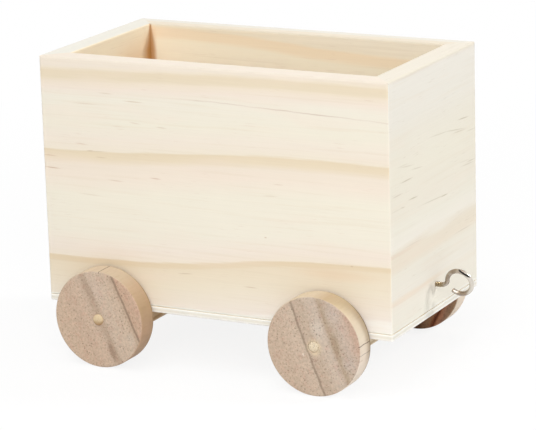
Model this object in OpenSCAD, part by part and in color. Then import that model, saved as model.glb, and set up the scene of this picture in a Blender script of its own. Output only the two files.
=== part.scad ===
// Small wooden wagon: an open mitred box on a thin floor, two grooved bearers under the floor,
// two dowel axles with a disc wheel at each end, a screw hook in front and a screw eye behind.
//
// Millimetres. +X points to the hook end (front), +Y to the left, +Z up.
// The origin is on the ground, under the middle of the box.

/* [Box] */
// Outside length of the box, along X
box_length = 155; // [125:1:220]
// Outside width of the box, along Y
box_width = 84; // [66:1:120]
// Height of the four upright boards, without the floor
board_height = 100.2; // [50:0.1:150]
// Thickness of the four upright boards
board_thick = 9.5; // [7.5:0.5:13]
// Thickness of the plywood floor
floor_thick = 2.5; // [2:0.1:6]
// Radius of the sanded edges of the boards
board_ease = 0.8; // [0.3:0.1:1.5]
// Radius of the sanded edges of the floor
floor_ease = 0.4; // [0.2:0.1:0.8]

/* [Wheels and axles] */
// Diameter of the wheels
wheel_d = 40.4; // [34:0.2:60]
// Thickness of the wheels
wheel_thick = 9.8; // [6:0.1:14]
// Radius of the sanded edges of the wheels
wheel_ease = 0.6; // [0.2:0.1:1.5]
// Free gap between a wheel and the side of the box
wheel_gap = 1; // [0.8:0.1:5]
// From the front end of the box to the front axle
front_axle_inset = 29; // [22:0.5:40]
// From the rear end of the box to the rear axle
rear_axle_inset = 29; // [22:0.5:40]
// Diameter of the dowel axles
axle_d = 4.6; // [4:0.1:7]
// Radius of the sanded ends of the axles
axle_ease = 1; // [0.3:0.1:1.6]
// How far the front axle stands out of its wheels
front_axle_proud = 0.3; // [0:0.1:2]
// How far the rear axle stands out of its wheels
rear_axle_proud = 1; // [0:0.1:2]
// Free space all round an axle in its groove
axle_clearance = 0.1; // [0.05:0.01:0.1]

/* [Bearers] */
// Width of a bearer, along X
bearer_width = 20; // [16:0.5:28]
// Height of a bearer, which hangs under the floor
bearer_height = 10; // [9:0.5:13]
// Distance of a bearer's ends from the sides of the box
bearer_inset = 0.5; // [0:0.1:3]
// Radius of the sanded lower edges of the bearers
bearer_ease = 0.8; // [0.2:0.1:1.5]

/* [Hook and eye] */
// Diameter of the wire
wire_d = 1.9; // [1.6:0.1:2.4]
// Radius of the loops, to the middle of the wire
loop_r = 5.2; // [4.8:0.1:7]
// Radius of the bend between shank and loop, to the middle of the wire
neck_r = 2.8; // [1.8:0.1:3.2]
// Angle at which the hook's neck passes into its loop
hook_join = -6; // [-15:1:15]
// Angle that the hook's loop goes round
hook_sweep = 304; // [260:1:306]
// Lean of the hook about its shank
hook_tilt = 16; // [-30:1:30]
// Length of the hook's straight shank outside the board
hook_standoff = 2.6; // [2:0.1:6]
// Gap that is left where the eye closes
eye_gap = 0.3; // [0.2:0.05:1]
// Height of both shanks above the underside of the floor
coupling_height = 12; // [9:0.5:30]
// Wood that is left behind the points of the shanks
point_cover = 1.5; // [1:0.1:3]
// Length of the tapered points of the shanks
point_length = 3; // [2:0.1:4]
// Bevel on the cut ends of the wire
wire_bevel = 0.35; // [0.1:0.05:0.5]

/* [Nails] */
// Diameter of the nails
nail_d = 1.2; // [0.9:0.1:1.6]
// Diameter of the nail heads
nail_head_d = 2.6; // [2:0.1:3.4]
// Thickness of the nail heads
nail_head_thick = 0.5; // [0.3:0.1:1]
// Length of the nail points
nail_point = 1.5; // [1:0.1:2.5]
// Depth to which the nails reach into the upright boards
nail_bite = 8; // [5:0.5:10]

/* [Hidden] */

$fn = 64;

pine = [0.93, 0.87, 0.76];
pine_pale = [0.94, 0.91, 0.84];
plywood = [0.93, 0.90, 0.83];
shaded_pine = [0.80, 0.69, 0.55];
end_grain = [0.77, 0.67, 0.58];
dowel_wood = [0.85, 0.75, 0.60];
nickel = [0.78, 0.76, 0.72];
bright_steel = [0.70, 0.70, 0.70];

// Heights, from the ground up.
axle_z = wheel_d / 2;
groove_r = axle_d / 2 + axle_clearance;
floor_z = axle_z + groove_r;
board_z = floor_z + floor_thick;
coupling_z = floor_z + coupling_height;

// Places of the running gear along X and Y.
front_axle_x = box_length / 2 - front_axle_inset;
rear_axle_x = -box_length / 2 + rear_axle_inset;
wheel_inner_y = box_width / 2 + wheel_gap;
wheel_outer_y = wheel_inner_y + wheel_thick;
bearer_length = box_width - 2 * bearer_inset;

// Middle of the end boards and side boards, where the nails go in.
end_board_x = (box_length - board_thick) / 2;
side_board_y = (box_width - board_thick) / 2;
// Middle of the wood beside a bearer's groove.
bearer_nail_x = (groove_r + bearer_width / 2) / 2;

floor_nail_spots = [
    for (x = [-end_board_x, end_board_x], y = [-box_width / 4, box_width / 4]) [x, y],
    for (y = [-side_board_y, side_board_y]) [0, y]
];
bearer_nail_spots = [
    for (x = [rear_axle_x, front_axle_x], dx = [-bearer_nail_x, bearer_nail_x])
        for (y = [-side_board_y, side_board_y]) [x + dx, y]
];

// Hook and eye. The neck and the loop meet on the line through their centres, centre_gap apart.
shank_bite = board_thick - point_cover;
centre_gap = neck_r + loop_r;
// The eye's loop is in line with its shank.
eye_join = -asin(neck_r / centre_gap);
// The eye stands out as far as the hook does, so its shank takes up the difference.
eye_standoff = hook_standoff + centre_gap * (cos(hook_join) - cos(eye_join));
// The eye's loop goes round until its end is eye_gap away from the neck.
closed_r = neck_r + wire_d + eye_gap;
eye_sweep = 360 - acos((pow(centre_gap, 2) + pow(loop_r, 2) - pow(closed_r, 2)) / (2 * centre_gap * loop_r));
// The neck and the bevelled tip are this much slimmer all round, and their ends sink into the rest of the wire.
hair = 0.01;
sunk = 0.05;

// Rectangle with rounded corners, from [0, 0] to [w, h].
module eased_rectangle(w, h, r) {
    translate([r, 0])
        square([w - 2 * r, h]);
    translate([0, r])
        square([w, h - 2 * r]);
    for (x = [r, w - r], y = [r, h - r])
        translate([x, y])
            circle(r);
}

// A bar along X, centred on x = 0, with its outline given in the YZ plane.
module bar_along_x(length) {
    rotate([90, 0, 90])
        linear_extrude(length, center = true)
            children();
}

// Plan of a mitred board: its outer face lies on the X axis, and its ends run in at 45 degrees.
module mitred_plan(length) {
    intersection() {
        translate([-length / 2, 0])
            eased_rectangle(length, length, board_ease);
        polygon([
            [-length / 2, 0], [length / 2, 0],
            [length / 2 - board_thick, board_thick], [board_thick - length / 2, board_thick]
        ]);
    }
}

// An upright board with mitred ends, on z = 0, its outer face towards -Y.
module mitred_board(length) {
    intersection() {
        bar_along_x(length)
            eased_rectangle(board_thick, board_height, board_ease);
        linear_extrude(board_height)
            mitred_plan(length);
    }
}

// A round-headed nail that points up, with its head's face on z = 0.
module nail(length) {
    r = nail_d / 2;
    head_r = nail_head_d / 2;
    rotate_extrude()
        polygon([
            [0, 0], [head_r, 0], [head_r, nail_head_thick],
            [r, nail_head_thick], [r, length - nail_point], [0, length]
        ]);
}

module floor_nails() {
    color(bright_steel)
        for (spot = floor_nail_spots)
            translate([spot.x, spot.y, floor_z])
                nail(floor_thick + nail_bite);
}

module bearer_nails() {
    color(bright_steel)
        for (spot = bearer_nail_spots)
            translate([spot.x, spot.y, floor_z - bearer_height])
                nail(bearer_height + floor_thick + nail_bite);
}

module side_board() {
    color(pine)
        difference() {
            translate([0, -box_width / 2, board_z])
                mitred_board(box_length);
            floor_nails();
            bearer_nails();
        }
}

module right_side_board() {
    side_board();
}

module left_side_board() {
    mirror([0, 1, 0])
        side_board();
}

module front_end_board() {
    color(pine_pale)
        difference() {
            translate([box_length / 2, 0, board_z])
                rotate([0, 0, 90])
                    mitred_board(box_width);
            floor_nails();
            coupling_hook();
        }
}

module rear_end_board() {
    color(pine_pale)
        difference() {
            translate([-box_length / 2, 0, board_z])
                rotate([0, 0, -90])
                    mitred_board(box_width);
            floor_nails();
            coupling_eye();
        }
}

// The floor covers the whole underside of the box.
module floor_board() {
    color(plywood)
        difference() {
            translate([0, 0, floor_z])
                intersection() {
                    translate([0, -box_width / 2])
                        bar_along_x(box_length)
                            eased_rectangle(box_width, floor_thick, floor_ease);
                    translate([-box_length / 2, -box_width / 2])
                        linear_extrude(floor_thick)
                            eased_rectangle(box_length, box_width, board_ease);
                }
            floor_nails();
            bearer_nails();
        }
}

// Cross-section of a bearer, its top face on y = 0 and the groove open towards the floor.
module bearer_section() {
    difference() {
        union() {
            translate([-bearer_width / 2, -bearer_height])
                eased_rectangle(bearer_width, bearer_height, bearer_ease);
            translate([-bearer_width / 2, -bearer_height / 2])
                square([bearer_width, bearer_height / 2]);
        }
        translate([0, -groove_r])
            circle(groove_r);
        translate([-groove_r, -groove_r])
            square(2 * groove_r);
    }
}

// Cross strip under the floor, which closes its groove over the axle.
module bearer(x) {
    color(shaded_pine)
        difference() {
            translate([x, 0, floor_z])
                rotate([90, 0, 0])
                    linear_extrude(bearer_length, center = true)
                        bearer_section();
            bearer_nails();
        }
}

module front_bearer() {
    bearer(front_axle_x);
}

module rear_bearer() {
    bearer(rear_axle_x);
}

// Dowel with sanded ends, which stand out of the wheels.
module axle(x, proud) {
    reach = wheel_outer_y + proud;
    color(dowel_wood)
        translate([x, 0, axle_z])
            rotate([90, 0, 0])
                rotate_extrude()
                    intersection() {
                        translate([-axle_d / 2, -reach])
                            eased_rectangle(axle_d, 2 * reach, axle_ease);
                        translate([0, -reach])
                            square([axle_d, 2 * reach]);
                    }
}

module front_axle() {
    axle(front_axle_x, front_axle_proud);
}

module rear_axle() {
    axle(rear_axle_x, rear_axle_proud);
}

// Disc wheel on the right-hand side, bored for its axle.
module wheel(x) {
    color(end_grain)
        translate([x, -wheel_inner_y, axle_z])
            rotate([90, 0, 0])
                rotate_extrude()
                    intersection() {
                        translate([-wheel_d / 2, 0])
                            eased_rectangle(wheel_d, wheel_thick, wheel_ease);
                        translate([axle_d / 2, 0])
                            square([wheel_d, wheel_thick]);
                    }
}

module front_right_wheel() {
    wheel(front_axle_x);
}

module front_left_wheel() {
    mirror([0, 1, 0])
        wheel(front_axle_x);
}

module rear_right_wheel() {
    wheel(rear_axle_x);
}

module rear_left_wheel() {
    mirror([0, 1, 0])
        wheel(rear_axle_x);
}

// Wire that follows an arc in the XZ plane.
module wire_arc(r, from, to, d = wire_d) {
    rotate([90, 0, 0])
        rotate_extrude(angle = to - from, start = from)
            translate([r, 0])
                circle(d = d);
}

// Straight wire that runs from the origin towards -X, and tapers to its point.
module shank(length) {
    rotate([0, -90, 0]) {
        cylinder(h = length - point_length, d = wire_d);
        translate([0, 0, length - point_length])
            cylinder(h = point_length, d1 = wire_d, d2 = 0.4);
    }
}

// Screw hook or eye bent from one wire. The face of the board is at x = 0, and the loop lies in the XZ plane.
module bent_wire(standoff, join, sweep) {
    translate([standoff, 0, 0]) {
        shank(shank_bite + standoff);
        translate([0, 0, neck_r])
            rotate([0, -join, 0]) {
                wire_arc(neck_r, -91 - join, 1, wire_d - 2 * hair);
                translate([centre_gap, 0, 0]) {
                    wire_arc(loop_r, 180 - sweep, 180);
                    rotate([0, sweep - 180, 0])
                        translate([loop_r, 0, 0])
                            rotate([180, 0, 0])
                                translate([0, 0, -sunk])
                                    cylinder(h = wire_bevel + sunk, d1 = wire_d - 2 * hair, d2 = wire_d - 2 * wire_bevel);
                }
            }
    }
}

module coupling_hook() {
    color(nickel)
        translate([box_length / 2, 0, coupling_z])
            rotate([hook_tilt, 0, 0])
                bent_wire(hook_standoff, hook_join, hook_sweep);
}

// The eye's loop lies flat, so that a hook drops into it.
module coupling_eye() {
    color(nickel)
        translate([-box_length / 2, 0, coupling_z])
            rotate([0, 0, 180])
                rotate([90, 0, 0])
                    bent_wire(eye_standoff, eye_join, eye_sweep);
}

right_side_board();
left_side_board();
front_end_board();
rear_end_board();
floor_board();
front_bearer();
rear_bearer();
front_axle();
rear_axle();
front_right_wheel();
front_left_wheel();
rear_right_wheel();
rear_left_wheel();
coupling_hook();
coupling_eye();
bearer_nails();
floor_nails();
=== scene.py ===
# %% [markdown]
# # A little pine wagon
# This lesson dresses a small wooden wagon: an open box of four sawn pine boards on a thin plywood
# floor, two grooved bearers below it, two dowel axles, four disc wheels cut across a round bar, a
# nickel screw hook in front and a screw eye behind.
#
# Its solids come ready-made, in metres, with +X to the hook end and +Z up. A solid's object sits at
# the origin, so Object coordinates on it are simply places on the wagon. That is what lets every
# finish below be laid out like a real one, in millimetres along and across the grain.

# %% The ready-made frame
import bpy
import bmesh
import math
from mathutils import Matrix, Vector


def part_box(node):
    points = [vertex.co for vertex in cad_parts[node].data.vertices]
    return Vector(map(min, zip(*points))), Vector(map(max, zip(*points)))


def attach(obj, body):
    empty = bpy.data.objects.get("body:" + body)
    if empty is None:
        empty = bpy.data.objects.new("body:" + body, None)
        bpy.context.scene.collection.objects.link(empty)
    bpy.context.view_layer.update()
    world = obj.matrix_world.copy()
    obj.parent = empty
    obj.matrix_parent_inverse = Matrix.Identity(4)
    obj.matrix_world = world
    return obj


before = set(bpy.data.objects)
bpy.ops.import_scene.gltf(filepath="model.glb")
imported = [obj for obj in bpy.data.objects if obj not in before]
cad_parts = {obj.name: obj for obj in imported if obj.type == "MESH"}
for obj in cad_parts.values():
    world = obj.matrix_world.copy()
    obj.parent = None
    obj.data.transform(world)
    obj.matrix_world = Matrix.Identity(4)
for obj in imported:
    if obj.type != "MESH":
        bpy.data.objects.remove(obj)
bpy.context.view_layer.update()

# %% [markdown]
# ## Where the wood's faces are
# Every finish starts from the same few places: the underside of the floor, the inner and outer faces
# of the boards, and the line of the axles. They could be typed in, but the solids already hold them,
# so they are read off the solids' boxes. The wagon is the same to the left and right, and in front
# and behind, so one number serves both sides.

# %% Places on the wagon
def corners(node):
    """A solid's lowest and highest corners, in millimetres to one tenth."""
    return [[round(1000.0 * value, 1) for value in corner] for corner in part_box(node)]


floor_foot = corners("floor_board")[0][2]
side_inner, side_face = [corner[1] for corner in corners("left_side_board")]
end_inner, end_face = [corner[0] for corner in corners("front_end_board")]
axle_place = sum(corner[0] for corner in corners("front_axle")) / 2
print("underside of the floor:", floor_foot, "axles:", axle_place)
print("side boards:", side_inner, "to", side_face, "end boards:", end_inner, "to", end_face)

# %% [markdown]
# ## Where the camera stands
# A long lens from far away keeps the box's edges nearly parallel, as in a catalogue. The camera looks
# at one spot in the wagon from a bearing and a height, and leans a little about its own axis, as a
# camera in the hand does. A constraint could aim it, but a matrix made of the camera's own right, up
# and back directions says all of that at once, with nothing to work out later.

# %% Camera
def look_from(bearing, height, lean, spot, distance):
    """A camera's place: bearing from -Y towards +X, height above the ground, lean about its own axis."""
    bearing, height, lean = [math.radians(angle) for angle in (bearing, height, lean)]
    back = Vector((
        math.sin(bearing) * math.cos(height),
        -math.cos(bearing) * math.cos(height),
        math.sin(height),
    ))
    right = Vector((math.cos(bearing), math.sin(bearing), 0.0))
    up = back.cross(right)
    leaned_right = math.cos(lean) * right + math.sin(lean) * up
    leaned_up = math.cos(lean) * up - math.sin(lean) * right
    turn = Matrix((leaned_right, leaned_up, back)).transposed()
    return Matrix.Translation(spot + back * distance) @ turn.to_4x4()


lens = bpy.data.cameras.new("studio_camera")
lens.lens = 185.56
lens.sensor_width = 36.0
lens.clip_start = 0.05
camera = bpy.data.objects.new("studio_camera", lens)
bpy.context.collection.objects.link(camera)
camera.matrix_world = look_from(
    bearing=27.58, height=14.86, lean=-1.66, spot=Vector((0.02469, -0.042, 0.06844)), distance=1.08283,
)
bpy.context.scene.camera = camera
print("camera stands at", [round(v, 3) for v in camera.matrix_world.translation])

# %% [markdown]
# ## Making materials out of small steps
# A material is a tree of nodes. Written out by hand each node takes four or five lines, so a few
# helpers do the typing. `add` makes any node and fills its sockets with numbers or with other nodes'
# outputs. `calc` is one step of arithmetic and `product` a row of multiplications. `split` takes a
# place apart into X, Y and Z. `between` is a Map Range, which turns a measure into an amount from 0
# to 1, and most of the finishes are made of amounts.

# %% Helpers for nodes
def add(tree, kind, inputs=None, **settings):
    """One node: its settings first, then its sockets, by name or by number."""
    node = tree.nodes.new(kind)
    for key, value in settings.items():
        setattr(node, key, value)
    for key, value in (inputs or {}).items():
        if isinstance(value, bpy.types.NodeSocket):
            tree.links.new(value, node.inputs[key])
        else:
            node.inputs[key].default_value = value
    return node


def calc(tree, operation, *values):
    """One step of arithmetic on numbers or sockets."""
    return add(tree, "ShaderNodeMath", dict(enumerate(values)), operation=operation).outputs[0]


def product(tree, first, *others):
    """Numbers or sockets multiplied one after the other."""
    for other in others:
        first = calc(tree, "MULTIPLY", first, other)
    return first


def split(tree, place):
    """A place's X, Y and Z."""
    return add(tree, "ShaderNodeSeparateXYZ", {0: place}).outputs


def between(tree, value, start, end, first=0.0, last=1.0, smooth=True):
    """How far a measure has come from start to end, held at both, as an amount from first to last."""
    kind = "SMOOTHSTEP" if smooth else "LINEAR"
    settings = {"Value": value, "From Min": start, "From Max": end, "To Min": first, "To Max": last}
    return add(tree, "ShaderNodeMapRange", settings, interpolation_type=kind, clamp=True).outputs[0]


print("helpers for nodes: add, calc, product, split, between")

# %% [markdown]
# ## Colours laid over each other
# A wood's colour is built up in thin coats: a ground that changes from band to band, then fibres,
# clouds and marks, each by its own amount. An image could hold all of that, but it would be as sharp
# as its own size and no sharper. Here Mix nodes lay the coats, and a Color Ramp makes the ground.
# Colours are written the way a colour picker shows them, and turned into the linear light that the
# shader works in.

# %% Helpers for colour
def tone(code):
    """A colour as a picker shows it, such as F1E5D0, in the shader's linear light."""
    shares = [int(code[i:i + 2], 16) / 255 for i in (0, 2, 4)]
    return [v / 12.92 if v <= 0.04045 else ((v + 0.055) / 1.055) ** 2.4 for v in shares] + [1.0]


def over(tree, under, upper, amount, way="MIX"):
    """Lay one colour over another by an amount from 0 to 1; 6 and 7 are Mix's colour sockets."""
    mixed = add(tree, "ShaderNodeMix", {0: amount, 6: under, 7: upper}, data_type="RGBA", blend_type=way)
    return mixed.outputs[2]


def shaded(tree, colour, strength):
    """Multiply a colour by a strength near 1."""
    return over(tree, colour, strength, 1.0, way="MULTIPLY")


def ramp_along(tree, value, start, end, stops):
    """A Color Ramp along a measure: stops are (measure, colour), rising, in the measure's own unit."""
    ramp = add(tree, "ShaderNodeValToRGB", {"Fac": between(tree, value, start, end, smooth=False)})
    marks = ramp.color_ramp.elements
    while len(marks) < len(stops):
        marks.new(0.5)
    # All the places come first, so that every mark has its own place before it gets its colour.
    for mark, (place, colour) in zip(marks, stops):
        mark.position = (place - start) / (end - start)
    for mark, (place, colour) in zip(marks, stops):
        mark.color = colour
    return ramp.outputs["Color"]


def tones_along(tree, value, start, end, stops):
    """A colour that changes along a measure."""
    return ramp_along(tree, value, start, end, [(place, tone(code)) for place, code in stops])


def amounts_along(tree, value, start, end, stops):
    """A plain amount from 0 to 1 that changes along a measure, such as how deep a crack is."""
    greys = [(place, (amount, amount, amount, 1.0)) for place, amount in stops]
    return ramp_along(tree, value, start, end, greys)


print("warm white in linear light:", [round(v, 3) for v in tone("F1E5D0")])

# %% [markdown]
# ## From a colour to a finished surface
# A Principled shader takes a colour, a roughness and a relief, and looks right under any lamp. Numbers
# that are the same all over are set on its own sockets, and only what changes from place to place is
# linked. The relief is a Bump node, which tilts the light and moves nothing. That suits sawn fibres
# a tenth of a millimetre deep, where real displacement would need millions of faces.

# %% Helpers for finishes
def surface(name, gloss=0.5, roughness=0.5, metallic=0.0):
    """A new material with a Principled shader, and the numbers that never change on its sockets."""
    material = bpy.data.materials.new(name)
    material.use_nodes = True
    tree = material.node_tree
    tree.nodes.clear()
    constants = {"Specular IOR Level": gloss, "Roughness": roughness, "Metallic": metallic}
    shader = add(tree, "ShaderNodeBsdfPrincipled", constants)
    add(tree, "ShaderNodeOutputMaterial", {"Surface": shader.outputs[0]})
    return material, tree, shader


def dress(tree, shader, colour, rough, relief, strength, depth):
    """Give a shader its colour, its roughness and a relief that is so many millimetres deep."""
    tree.links.new(colour, shader.inputs["Base Color"])
    tree.links.new(rough, shader.inputs["Roughness"])
    bump = add(tree, "ShaderNodeBump", {"Height": relief, "Strength": strength, "Distance": depth / 1000.0})
    tree.links.new(bump.outputs[0], shader.inputs["Normal"])


def wear(node, material):
    """Give a solid a finish, in all of its material slots."""
    piece = bpy.data.objects[node]
    for slot in piece.material_slots:
        slot.material = material
    print(node, "wears", material.name, "in", len(piece.material_slots), "slots")


print("helpers for finishes: surface, dress, wear")

# %% [markdown]
# ## The floor
# The wagon stands on a pale sweep with no seams. Real studios overexpose the paper behind an object.
# Here the paper is white only to the camera and in polished metal, through Light Path, and the wagon
# is lit by a plain pale floor, so no extra light has to fall on it. What the camera sees is part glow
# and part ordinary paper, and the paper part keeps the wagon's soft shadow under it.

# %% Paper
def seen_rays(tree):
    """1 for what the camera sees, straight on or in polished metal, and 0 for light on the wagon."""
    light = add(tree, "ShaderNodeLightPath")
    shiny = calc(tree, "MAXIMUM", light.outputs["Is Glossy Ray"], light.outputs["Is Transmission Ray"])
    return calc(tree, "MAXIMUM", light.outputs["Is Camera Ray"], shiny)


def studio_paper():
    """Pale paper with a faint tooth, whose glow is weaker near the wagon, where its shadow falls."""
    material, tree, shader = surface("studio_paper", roughness=0.85)
    out = shader.outputs[0].links[0].to_socket
    place = add(tree, "ShaderNodeTexCoord").outputs["Object"]
    tooth = add(tree, "ShaderNodeTexNoise", {"Vector": place, "Scale": 900.0, "Detail": 2.0})
    paper = over(tree, tone("E6E6E4"), tone("E9E9E7"), tooth.outputs["Fac"])
    seen = seen_rays(tree)
    tree.links.new(over(tree, paper, tone("FFFFFF"), seen), shader.inputs["Base Color"])
    glow = add(tree, "ShaderNodeEmission", {"Color": tone("FFFFFF"), "Strength": 1.0})
    away = add(tree, "ShaderNodeVectorMath", {0: place}, operation="LENGTH").outputs["Value"]
    near, far = 0.16, 0.5
    share = product(tree, seen, between(tree, away, near, far, 0.86, 1.0))
    mixed = add(tree, "ShaderNodeMixShader", {0: share, 1: shader.outputs[0], 2: glow.outputs[0]})
    tree.links.new(mixed.outputs[0], out)
    return material


paper = studio_paper()
print("paper:", paper.name)

# %% Floor
def lay_floor(material, reach):
    """A flat sheet at height zero that reaches so many metres each way."""
    mesh = bpy.data.meshes.new("studio_floor")
    shape = bmesh.new()
    bmesh.ops.create_grid(shape, x_segments=4, y_segments=4, size=reach)
    shape.to_mesh(mesh)
    shape.free()
    mesh.materials.append(material)
    floor = bpy.data.objects.new("studio_floor", mesh)
    bpy.context.collection.objects.link(floor)
    return floor


studio_floor = lay_floor(paper, reach=6.0)
print("floor:", [round(v, 2) for v in studio_floor.dimensions])

# %% [markdown]
# ## Even light from the air
# Pale wood shows its grain only if it isn't burnt out, so the light is kept at a level where a colour
# comes out about as it was written. The air itself gives a fifth of it, evenly from all round. What
# the camera and the nickel see of the air is plain white, by the same trick as the floor's.

# %% Air
def make_air(strength):
    """Even light of a strength; the camera and polished things see plain white."""
    world = bpy.data.worlds.new("studio_air")
    bpy.context.scene.world = world
    world.use_nodes = True
    tree = world.node_tree
    tree.nodes.clear()
    white = (1.0, 1.0, 1.0, 1.0)
    lit = add(tree, "ShaderNodeBackground", {"Color": white, "Strength": strength})
    seen = add(tree, "ShaderNodeBackground", {"Color": white, "Strength": 1.0})
    mixed = add(tree, "ShaderNodeMixShader", {0: seen_rays(tree), 1: lit.outputs[0], 2: seen.outputs[0]})
    add(tree, "ShaderNodeOutputWorld", {"Surface": mixed.outputs[0]})


make_air(strength=0.2)
print("air:", bpy.context.scene.world.name)

# %% [markdown]
# ## Soft boxes
# Four square lamps give the rest, each aimed at the middle of the box. One hangs high above, so that
# the rims are the brightest faces. One stands above the camera: it reaches over the near rim into the
# box and keeps the wheels' shadows behind them. A small one high on the right throws the hook's
# shadow down to the left on the end board, still sharp enough to be seen. The weakest stands behind,
# so that the far side and the rear end are not left grey.

# %% Lamps
def soft_box(name, place, size, power):
    """A square lamp of a size in metres and a power in watts, aimed at the middle of the box."""
    lamp = bpy.data.lights.new(name, "AREA")
    lamp.shape = "SQUARE"
    lamp.size = size
    lamp.energy = power
    stand = bpy.data.objects.new(name, lamp)
    bpy.context.collection.objects.link(stand)
    stand.location = place
    aim = Vector((0.0, 0.0, 0.07)) - Vector(place)
    stand.rotation_euler = aim.to_track_quat("-Z", "Y").to_euler()
    print(name, "size", size, "power", power)


soft_box("soft_box_above", place=(-0.1, -0.5, 1.6), size=1.2, power=12.3)
soft_box("soft_box_front", place=(0.6, -1.4, 0.9), size=1.2, power=14.8)
soft_box("soft_box_right", place=(1.3, 0.6, 1.0), size=0.3, power=10.5)
soft_box("soft_box_behind", place=(-0.7, 1.4, 0.6), size=1.0, power=3.5)

# %% [markdown]
# ## Places in the grain
# Each upright board was sawn along the trunk. An image of pine would have to be unwrapped round six
# faces; noise in Object coordinates runs through the whole board instead, so the rim and the inside
# match the outside. `grain_space` gives millimetres along, through and up a board. `grain` is a
# noise stretched to the size of a fibre, a streak or a cloud. `spot` is one oval mark, for what has
# to be in a certain place, such as a stain or a fleck of resin.

# %% Grain space
def grain_space(tree, turn=0.0, shift=(0.0, 0.0, 0.0)):
    """Places in millimetres, turned about Z so that X runs along the grain, then shifted."""
    place = add(tree, "ShaderNodeTexCoord").outputs["Object"]
    settings = {"Vector": place, "Scale": (1000.0,) * 3, "Rotation": (0.0, 0.0, math.radians(turn))}
    settings["Location"] = shift
    return add(tree, "ShaderNodeMapping", settings).outputs[0]


def grain(tree, space, size, seed, detail=3.0, rough=0.55):
    """Noise from 0 to 1 in patches of a size in millimetres; each seed starts in another place."""
    settings = {"Vector": space, "Scale": [1.0 / side for side in size]}
    settings["Location"] = (seed * 7.31, seed * 3.17, seed * 5.73)
    place = add(tree, "ShaderNodeMapping", settings).outputs[0]
    settings = {"Vector": place, "Scale": 1.0, "Detail": detail, "Roughness": rough}
    return add(tree, "ShaderNodeTexNoise", settings).outputs["Fac"]


def wander(tree, space, size, seed, detail=3.0, rough=0.55):
    """The same noise from -0.5 to 0.5, to push a line or a band both ways."""
    return calc(tree, "SUBTRACT", grain(tree, space, size, seed, detail, rough), 0.5)


def spot(tree, space, centre, size, soft=0.55, fall=0.0):
    """How much of an oval mark is here: 1 in its middle, 0 outside. It falls along X by an angle."""
    settings = {"Vector": space, "Location": centre, "Scale": [side / 2 for side in size]}
    settings["Rotation"] = (0.0, math.radians(fall), 0.0)
    place = add(tree, "ShaderNodeMapping", settings, vector_type="TEXTURE").outputs[0]
    reach = add(tree, "ShaderNodeVectorMath", {0: place}, operation="LENGTH").outputs["Value"]
    return between(tree, reach, 1.0 - soft, 1.0, 1.0, 0.0)


print("places in the grain are in millimetres")

# %% [markdown]
# ## How the bands run
# Where the saw met the yearly rings at a shallow angle they show as wide bands, pale where the tree
# grew fast and tan where it grew slowly, and they rise or fall a little along the board. So a colour
# is laid out by a *height* above the underside of the floor, and that height is bent first. A
# hyperbolic tangent gives the rise from one end to the other, a bell curve the bulge halfway, and
# soft noise makes the bands drift and frays their edges.

# %% Band height
def band_height(tree, space, rise, hump, lean, seed):
    """Height in the board's rings, once their rise, bulge, lean and drift are taken out.

    rise: how much they climb at a low and at a high place, and over which length of board.
    hump: how much they bulge halfway along the board, at a low and at a high place.
    lean: how much they climb through the thickness of the board.
    """
    along, through, height = split(tree, space)
    low, high, length = rise
    climb = between(tree, height, 20.0, 97.0, low, high, smooth=False)
    bend = calc(tree, "TANH", calc(tree, "DIVIDE", along, length))
    bulge = between(tree, height, 20.0, 60.0, hump[0], hump[1], smooth=False)
    bell_length = 45.0
    bell = calc(tree, "EXPONENT", product(tree, along, along, -1.0 / bell_length**2))
    height = calc(tree, "SUBTRACT", height, product(tree, climb, bend))
    height = calc(tree, "SUBTRACT", height, product(tree, bulge, bell))
    height = calc(tree, "MULTIPLY_ADD", through, lean, height)
    drift = wander(tree, space, (38.0, 30.0, 16.0), seed, 2.0)
    height = calc(tree, "MULTIPLY_ADD", drift, 1.6, height)
    feather = wander(tree, space, (24.0, 6.0, 0.8), seed + 7, 3.0, 0.6)
    return calc(tree, "MULTIPLY_ADD", feather, 1.5, height)


print("bands rise, bulge, lean and drift")

# %% [markdown]
# ## Sawn pine
# Over the bands lie long fibres as fine as the saw left them, rosy clouds and tan streaks. Resin
# shows as short brown flecks: a few strong ones, each in its own place, and faint ones strewn by
# noise. The fibres and fine hairs make the relief, and the flecks lie a little lower than the wood.
# Every board gets the same finish with its own bands, so only its marks need a function of their own.

# %% Pine figure
def pine_figure(tree, space, height, bands, stripy, seed):
    """The bands, with fibres, clouds and streaks over them, and the fibres alone for the relief."""
    colour = tones_along(tree, height, 0.0, 104.0, bands)
    fibre = grain(tree, space, (34.0, 0.8, 0.55), seed + 1, 4.0, 0.62)
    colour = shaded(tree, colour, between(tree, fibre, 0.3, 0.7, 0.985, 1.008, smooth=False))
    cloud = grain(tree, space, (46.0, 12.0, 9.0), seed + 2, 2.0)
    colour = over(tree, colour, tone("F5E3D3"), between(tree, cloud, 0.5, 0.75, 0.0, stripy * 1.6))
    streak = grain(tree, space, (48.0, 5.0, 1.5), seed + 8, 2.0, 0.5)
    colour = over(tree, colour, tone("E3D2B6"), between(tree, streak, 0.52, 0.72, 0.0, stripy))
    return colour, fibre


print("pine has bands, fibres, clouds and streaks")

# %% Resin flecks
def resin(tree, space, flecks, zone, seed):
    """How much resin is here: faint dashes in some zones of the wood, and flecks in their own places.

    flecks: where along, how high, how long, how strong, and how steeply each one falls, in degrees.
    """
    dash = between(tree, grain(tree, space, (6.5, 0.6, 0.5), seed + 3, 1.0, 0.4), 0.62, 0.78)
    amount = product(tree, dash, between(tree, zone, 0.46, 0.6, 0.0, 0.22))
    for along, height, length, strength, fall in flecks:
        mark = spot(tree, space, (along, 0.0, height), (length, 6.0, 0.75), soft=0.85, fall=fall)
        amount = calc(tree, "MAXIMUM", amount, product(tree, mark, strength))
    return amount


print("resin is an amount from 0 to 1")

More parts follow.
